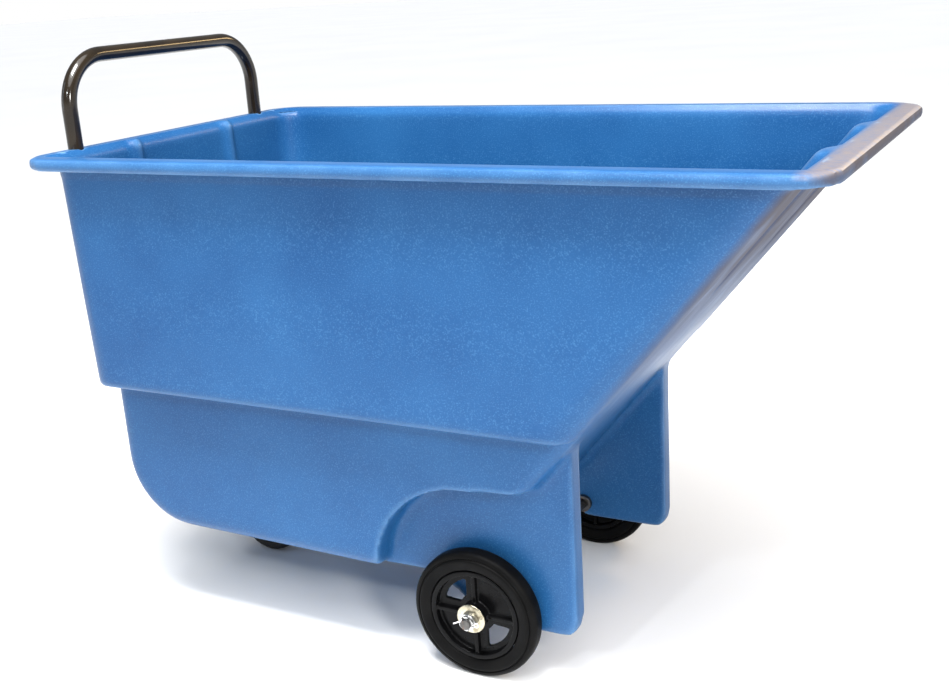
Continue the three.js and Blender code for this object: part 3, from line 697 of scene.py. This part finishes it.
# %% [markdown]
# ## Small hardware
#
# Bolts, nuts, washers, the caster's plates and the bushes already have the right shape in the
# frame, but knife-sharp edges. A copy of each is welded, given small bevels and shaded smooth,
# because no pressed or turned piece of metal has a perfectly sharp edge.

# %% Soften a copy of a frame piece
node_body = {node: body for body, nodes in frame["record"]["behaviour"]["bodies"].items()
             for node in nodes}
node_slot = {part["node"]: part["material_slot"] for part in frame["record"]["subparts"]}


def softened(node, width):
    source = frame["nodes"][node]
    only(source)
    bpy.ops.object.duplicate()
    piece = bpy.context.object
    piece.name = node + "_finished"
    piece.data.materials.clear()
    bpy.ops.object.mode_set(mode="EDIT")
    bpy.ops.mesh.select_all(action="SELECT")
    bpy.ops.mesh.remove_doubles(threshold=0.01 * MM)
    bpy.ops.mesh.dissolve_limited(angle_limit=math.radians(1))
    bpy.ops.object.mode_set(mode="OBJECT")
    edge = piece.modifiers.new("edge", "BEVEL")
    edge.width = width * MM
    edge.segments = 2
    edge.limit_method = "ANGLE"
    edge.angle_limit = math.radians(42)
    only(piece)
    bpy.ops.object.modifier_apply(modifier=edge.name)
    smooth(piece, 42)
    return piece


made = {"tub": tub, "handle_tube": handle, "tyre_near": tyre, "tyre_far": tyre_far,
        "hub_near": hub, "hub_far": hub_far, "outer_washer_near": end_washer,
        "outer_washer_far": end_washer_far, "castle_nut_near": slotted,
        "castle_nut_far": slotted_far}
for node in sorted(frame["nodes"]):
    if node not in made:
        made[node] = softened(node, 0.8 if node == "caster_fork" else 0.3)
print("pieces made", len(made))

# %% [markdown]
# ## Finishes
#
# Every finish starts the same way: a slow noise shifts the colour, a finer one changes the
# gloss, and the finest lifts the surface. Each material then sets its own scale and strength.
# All of them read object coordinates, so the pattern keeps its real size on every piece.

# %% Common finish
def finish(name, dark, light, rough, patch, grain, bump, metal=0.0):
    material = bpy.data.materials.new(name)
    material.use_nodes = True
    nodes, links = material.node_tree.nodes, material.node_tree.links
    shader = nodes["Principled BSDF"]
    shader.inputs["Metallic"].default_value = metal
    place = nodes.new("ShaderNodeTexCoord").outputs["Object"]

    def noise(scale, detail):
        node = nodes.new("ShaderNodeTexNoise")
        node.inputs["Scale"].default_value = scale
        node.inputs["Detail"].default_value = detail
        links.new(place, node.inputs["Vector"])
        return node.outputs["Fac"]

    ramp = nodes.new("ShaderNodeValToRGB")
    ramp.color_ramp.elements[0].position = 0.3
    ramp.color_ramp.elements[1].position = 0.7
    ramp.color_ramp.elements[0].color = (*dark, 1)
    ramp.color_ramp.elements[1].color = (*light, 1)
    links.new(noise(patch, 5), ramp.inputs["Fac"])
    links.new(ramp.outputs["Color"], shader.inputs["Base Color"])

    gloss = nodes.new("ShaderNodeMapRange")
    gloss.inputs["To Min"].default_value = rough[0]
    gloss.inputs["To Max"].default_value = rough[1]
    links.new(noise(patch * 3, 4), gloss.inputs["Value"])
    links.new(gloss.outputs["Result"], shader.inputs["Roughness"])

    lift = nodes.new("ShaderNodeBump")
    lift.inputs["Strength"].default_value = bump[0]
    lift.inputs["Distance"].default_value = bump[1] * MM
    links.new(noise(grain, 3), lift.inputs["Height"])
    links.new(lift.outputs["Normal"], shader.inputs["Normal"])
    return material


# %% Small node helpers
def ramp(material, source, low, high, top=1.0):
    nodes, links = material.node_tree.nodes, material.node_tree.links
    span = nodes.new("ShaderNodeMapRange")
    span.inputs["From Min"].default_value = low
    span.inputs["From Max"].default_value = high
    span.inputs["To Max"].default_value = top
    links.new(source, span.inputs["Value"])
    return span.outputs["Result"]


def times(material, first, *others):
    nodes, links = material.node_tree.nodes, material.node_tree.links
    for other in others:
        product = nodes.new("ShaderNodeMath")
        product.operation = "MULTIPLY"
        links.new(first, product.inputs[0])
        links.new(other, product.inputs[1])
        first = product.outputs["Value"]
    return first


def parts_of(material, vector):
    split = material.node_tree.nodes.new("ShaderNodeSeparateXYZ")
    material.node_tree.links.new(vector, split.inputs["Vector"])
    return split.outputs


# %% Mix a second colour over the first
def overlay(material, colour, mask):
    nodes, links = material.node_tree.nodes, material.node_tree.links
    shader = nodes["Principled BSDF"]
    under = shader.inputs["Base Color"].links[0].from_socket
    mix = nodes.new("ShaderNodeMix")
    mix.data_type = "RGBA"
    sockets = [s for s in mix.inputs if s.type == "RGBA"]
    links.new(under, sockets[0])
    sockets[1].default_value = (*colour, 1)
    links.new(mask, mix.inputs["Factor"])
    result = [s for s in mix.outputs if s.type == "RGBA"][0]
    links.new(result, shader.inputs["Base Color"])


def roughen(material, roughness, mask):
    nodes, links = material.node_tree.nodes, material.node_tree.links
    socket = nodes["Principled BSDF"].inputs["Roughness"]
    mix = nodes.new("ShaderNodeMix")
    links.new(mask, mix.inputs["Factor"])
    links.new(socket.links[0].from_socket, mix.inputs["A"])
    mix.inputs["B"].default_value = roughness
    links.new(mix.outputs["Result"], socket)


def speckle(material, scale, low, high, amount):
    nodes, links = material.node_tree.nodes, material.node_tree.links
    place = nodes.new("ShaderNodeTexCoord")
    dots = nodes.new("ShaderNodeTexNoise")
    dots.inputs["Scale"].default_value = scale
    dots.inputs["Detail"].default_value = 2
    links.new(place.outputs["Object"], dots.inputs["Vector"])
    return ramp(material, dots.outputs["Fac"], low, high, amount)


def pale_convex_edges(material, low, high, amount):
    shape = material.node_tree.nodes.new("ShaderNodeNewGeometry")
    return ramp(material, shape.outputs["Pointiness"], low, high, amount)


# %% [markdown]
# ## Blue moulded plastic
#
# Rotationally moulded polyethylene is never quite even: it has a fine orange peel and a speckle
# of pigment. Its convex edges are coloured a paler blue than the rest.

# %% Blue plastic
blue = finish("blue moulded plastic", (0.0060, 0.053, 0.163), (0.0130, 0.080, 0.214),
              (0.28, 0.42), 5, 420, (0.25, 0.5))
overlay(blue, (0.055, 0.175, 0.34), speckle(blue, 480, 0.52, 0.70, 0.38))
# The convex edges are coloured a paler blue
overlay(blue, (0.20, 0.38, 0.60), pale_convex_edges(blue, 0.515, 0.60, 0.45))
blue.node_tree.nodes["Principled BSDF"].inputs["Specular IOR Level"].default_value = 0.22
print("made", blue.name)

# %% [markdown]
# ## Painted sheen on the pouring lip
#
# The top of the front lip takes a grey-brown painted sheen, which stands in for the warm
# reflection that the lip shows at this low view. Two ramps on the place along the cart and on
# the height mark the lip, and a stretched noise breaks the sheen into streaks along the cart.

# %% Painted lip sheen
def lip_sheen_mask(material):
    nodes, links = material.node_tree.nodes, material.node_tree.links
    place = nodes.new("ShaderNodeTexCoord").outputs["Object"]
    where = parts_of(material, place)
    stretch = nodes.new("ShaderNodeMapping")
    stretch.inputs["Scale"].default_value = (70, 240, 60)
    links.new(place, stretch.inputs["Vector"])
    streak = nodes.new("ShaderNodeTexNoise")
    streak.inputs["Scale"].default_value = 1
    streak.inputs["Detail"].default_value = 4
    links.new(stretch.outputs["Vector"], streak.inputs["Vector"])
    lip_start = slope_x(RIM_TOP) * MM
    along = ramp(material, where["X"], lip_start - 0.014, lip_start + 0.010)
    height = ramp(material, where["Z"], (RIM_TOP - 9) * MM, (RIM_TOP - 3) * MM)
    broken = ramp(material, streak.outputs["Fac"], 0.10, 0.58, 0.90)
    return times(material, along, height, broken)


# Grey-brown painted sheen on the top of the lip
overlay(blue, (0.165, 0.132, 0.115), lip_sheen_mask(blue))
print("painted lip sheen added")

# %% [markdown]
# ## Painted sheen on the front
#
# The faces of the front slope and the lip's edge that look forwards take a grey-brown painted
# sheen, which stands in for the reflection they show at a grazing view, and are made rougher.
# The surface's own direction marks them, their place along the cart keeps the inside of the
# rear wall clean, and a noise leaves some of the blue showing through.

# %% Painted sheen on the front
def front_sheen_mask(material):
    nodes = material.node_tree.nodes
    way = parts_of(material, nodes.new("ShaderNodeNewGeometry").outputs["Normal"])
    where = parts_of(material, nodes.new("ShaderNodeTexCoord").outputs["Object"])
    facing = ramp(material, way["X"], 0.50, 0.78)
    height = ramp(material, where["Z"], 0.44, 0.66)
    ahead = ramp(material, where["X"], 0.05, 0.15)
    return times(material, facing, height, ahead, speckle(material, 11, 0.05, 0.50, 0.88))


# Grey-brown painted sheen on the faces that look forwards; the same mask makes them rougher
sheened = front_sheen_mask(blue)
overlay(blue, (0.060, 0.048, 0.050), sheened)
roughen(blue, 0.85, sheened)
print("scuffed front added")

# %% [markdown]
# ## Black finishes
#
# The handle has gloss paint with a slight orange peel under a clear coat, and the warm brown
# in its colour is a painted reflection of gold streaks. The tyres are dull rubber with dust in
# the pores, and the hubs are a harder plastic with a satin shine.

# %% Paint, rubber and black plastics
def shine(material, level, coat=0.0, coat_rough=0.1):
    shader = material.node_tree.nodes["Principled BSDF"]
    shader.inputs["Specular IOR Level"].default_value = level
    shader.inputs["Coat Weight"].default_value = coat
    shader.inputs["Coat Roughness"].default_value = coat_rough


# The warm brown tint of the paint's colour is a painted reflection
paint = finish("gloss black paint", (0.004, 0.003, 0.002), (0.020, 0.013, 0.006), (0.10, 0.22),
               14, 520, (0.08, 0.3))
shine(paint, 0.35, 0.35, 0.05)
rubber = finish("tyre rubber", (0.0016, 0.0016, 0.0018), (0.0042, 0.0041, 0.004), (0.34, 0.58),
                30, 1100, (0.40, 0.5))
overlay(rubber, (0.014, 0.0135, 0.0125), speckle(rubber, 700, 0.56, 0.75, 0.30))
shine(rubber, 0.05)
hub_black = finish("satin hub plastic", (0.0012, 0.0012, 0.0014), (0.0034, 0.0034, 0.0037),
                   (0.16, 0.32), 40, 800, (0.15, 0.4))
shine(hub_black, 0.08)
soft_black = finish("soft black plastic", (0.005, 0.005, 0.006), (0.014, 0.014, 0.015),
                    (0.35, 0.52), 50, 900, (0.25, 0.4))
shine(soft_black, 0.3)
caster_rubber = finish("caster rubber", (0.008, 0.008, 0.009), (0.020, 0.019, 0.018),
                       (0.45, 0.68), 40, 1200, (0.35, 0.5))
overlay(caster_rubber, (0.10, 0.09, 0.075), speckle(caster_rubber, 500, 0.55, 0.75, 0.4))
shine(caster_rubber, 0.25)
print("made", paint.name, rubber.name, hub_black.name)

# %% [markdown]
# ## Metals
#
# Bright zinc is cool and a little cloudy. Yellow zinc drifts between straw and bronze. The
# plain steel of the axle has a dark grey colour, which is painted shade for the axle in the
# shadow between the legs, and it has started to rust in small spots.

# %% Zinc and steel
zinc = finish("bright zinc plate", (0.50, 0.50, 0.50), (0.74, 0.74, 0.72), (0.20, 0.38),
              160, 1500, (0.12, 0.2), 1.0)
yellow_zinc = finish("yellow zinc plate", (0.27, 0.235, 0.16), (0.56, 0.53, 0.42), (0.16, 0.34),
                     110, 1400, (0.15, 0.25), 1.0)
overlay(yellow_zinc, (0.42, 0.33, 0.20), speckle(yellow_zinc, 90, 0.55, 0.75, 0.5))
# The dark grey of the steel is painted shade for the axle in the shadow between the legs
steel = finish("plain steel", (0.070, 0.067, 0.064), (0.15, 0.145, 0.14), (0.30, 0.5),
               120, 1300, (0.2, 0.3), 1.0)
overlay(steel, (0.22, 0.09, 0.035), speckle(steel, 140, 0.60, 0.78, 0.6))
nylon = finish("natural nylon", (0.62, 0.60, 0.53), (0.76, 0.74, 0.67), (0.35, 0.5),
               90, 1000, (0.15, 0.3))
slot_material = {"blue_plastic": blue, "black_paint": paint, "black_plastic": soft_black,
                 "hub_plastic": hub_black, "tyre": rubber, "caster_rubber": caster_rubber,
                 "zinc": zinc, "yellow_zinc": yellow_zinc, "steel": steel, "nylon": nylon}
print("materials", len(slot_material))

# %% [markdown]
# ## Putting it together
#
# Each piece takes the finish of its slot, hides the plain frame piece that it stands for, and
# rides on the same body.

# %% Dress every piece
for node, piece in made.items():
    piece.data.materials.clear()
    piece.data.materials.append(slot_material[node_slot[node]])
    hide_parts(node)
    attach(piece, node_body[node])
triangles = {node: sum(len(face.vertices) - 2 for face in piece.data.polygons)
             for node, piece in made.items()}
print("triangles", sum(triangles.values()), "tub", triangles["tub"])

# %% [markdown]
# ## Floor, light and camera
#
# A wide pale floor, a broad overhead sun and soft lights show the shape without hard shadows.
# A key light stands ahead of the near side, a large lamp over the tub fills its inside, and a
# small one puts a glint on the near rim. A warm strip on the far side tints the handle, and a
# cool one stands behind the cart.

# %% Floor and world
floor_material = finish("pale floor", (0.86, 0.86, 0.86), (0.90, 0.90, 0.90), (0.7, 0.85),
                        0.6, 60, (0.05, 0.5))
nothing()
bpy.ops.mesh.primitive_plane_add(size=120)
floor = bpy.context.object
floor.name = "floor"
floor.data.materials.append(floor_material)
floor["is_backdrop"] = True
world = bpy.data.worlds.new("soft room")
bpy.context.scene.world = world
world.use_nodes = True
sky = world.node_tree.nodes["Background"]
sky.inputs["Strength"].default_value = 1.0
direction = world.node_tree.nodes.new("ShaderNodeTexCoord")
height = world.node_tree.nodes.new("ShaderNodeSeparateXYZ")
fade = world.node_tree.nodes.new("ShaderNodeValToRGB")
fade.color_ramp.elements[0].position = 0.05
fade.color_ramp.elements[0].color = (1.0, 1.0, 1.0, 1)
fade.color_ramp.elements[1].position = 0.22
fade.color_ramp.elements[1].color = (0.26, 0.28, 0.31, 1)
world.node_tree.links.new(direction.outputs["Generated"], height.inputs["Vector"])
world.node_tree.links.new(height.outputs["Z"], fade.inputs["Fac"])
world.node_tree.links.new(fade.outputs["Color"], sky.inputs["Color"])
bpy.context.scene.view_settings.view_transform = "Standard"
print("floor and world made")

# %% Lights
def soft_light(name, place, aim, size, power, colour):
    data = bpy.data.lights.new(name, "AREA")
    data.shape = "RECTANGLE"
    data.size, data.size_y = size
    data.energy = power
    data.color = colour
    lamp = bpy.data.objects.new(name, data)
    bpy.context.scene.collection.objects.link(lamp)
    lamp.location = place
    lamp.rotation_euler = (Vector(aim) - Vector(place)).to_track_quat("-Z", "Y").to_euler()
    return lamp


overhead = bpy.data.objects.new("overhead", bpy.data.lights.new("overhead", "SUN"))
overhead.data.energy = 3.1
overhead.data.angle = math.radians(65)
overhead.rotation_euler = (math.radians(16), math.radians(20), 0)
bpy.context.scene.collection.objects.link(overhead)
soft_light("key", (2.0, -1.8, 1.6), (0.4, 0, 0.6), (0.45, 0.45), 40, (1, 0.99, 0.96))
soft_light("inside fill", (0.0, -0.9, 2.9), (-0.05, 0.3, 0.6), (1.2, 0.8), 165, (1, 1, 1))
soft_light("warm strip", (1.2, 2.6, 2.0), (-0.3, 0, 0.8), (1.6, 0.35), 26, (1, 0.70, 0.36))
soft_light("glint", (-0.25, -2.5, 2.0), (0.29, -0.34, 0.77), (0.16, 0.16), 14, (0.92, 0.98, 1))
soft_light("cool strip", (-3.0, -1.6, 1.6), (-0.3, 0, 0.6), (0.35, 1.8), 7, (0.70, 0.85, 1))
print("lights", len(bpy.data.lights))

# %% Camera
turn, tilt, roll = (math.radians(value) for value in (28.452, 17.149, -3.542))
back = Vector((math.sin(turn) * math.cos(tilt), -math.cos(turn) * math.cos(tilt),
               math.sin(tilt)))
level = Vector((math.cos(turn), math.sin(turn), 0))
upward = back.cross(level)
right = math.cos(roll) * level + math.sin(roll) * upward
up = math.cos(roll) * upward - math.sin(roll) * level
camera_data = bpy.data.cameras.new("camera")
camera_data.sensor_width = 36
camera_data.lens = 45.625
camera = bpy.data.objects.new("camera", camera_data)
bpy.context.scene.collection.objects.link(camera)
pose = Matrix((right, up, back)).transposed().to_4x4()
pose.translation = Vector((0.77877, -1.63231, 1.00320))
camera.matrix_world = pose
bpy.context.scene.camera = camera
print("camera at", [round(value, 3) for value in camera.location])

# %% [markdown]
# ## The two boxes
#
# The frame's own box and the box of the new looks are printed one after the other. The
# new looks must stay inside the frame's own box.

# %% Print the boxes and finish
new_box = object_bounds()
sizes = {"cad": [list(corner) for corner in cad_box],
         "visual": [list(corner) for corner in new_box]}
for name, corners in sizes.items():
    print(name, [[round(value, 4) for value in corner] for corner in corners])
